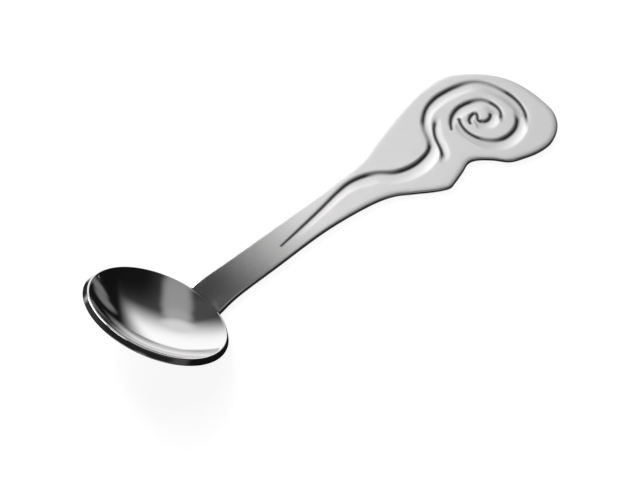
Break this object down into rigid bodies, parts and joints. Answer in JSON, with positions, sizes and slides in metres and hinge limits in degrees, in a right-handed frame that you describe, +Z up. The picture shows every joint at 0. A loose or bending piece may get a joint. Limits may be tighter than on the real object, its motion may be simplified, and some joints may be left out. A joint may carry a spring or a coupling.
{
  "type": "sugar ladle",
  "caption": "Small serving ladle with a shallow round polished bowl set at the end of a flat satin handle that widens into an engraved scroll head.",
  "frame": {"origin": "under the middle of the ladle's box, on the surface that the handle's flat back lies on", "axes": "+X from the bowl towards the scroll head, +Y across the handle, +Z up out of the engraved face"},
  "size_m": [0.1478, 0.0456, 0.0226],
  "materials": {
    "polished_steel": "mirror polished",
    "satin_steel": "fine satin, polished towards the root",
    "braze_metal": "dressed flush and polished"
  },
  "bodies": {
    "root": {"bowl": "polished_steel", "handle": "satin_steel", "braze_seam": "braze_metal"}
  },
  "joints": []
}
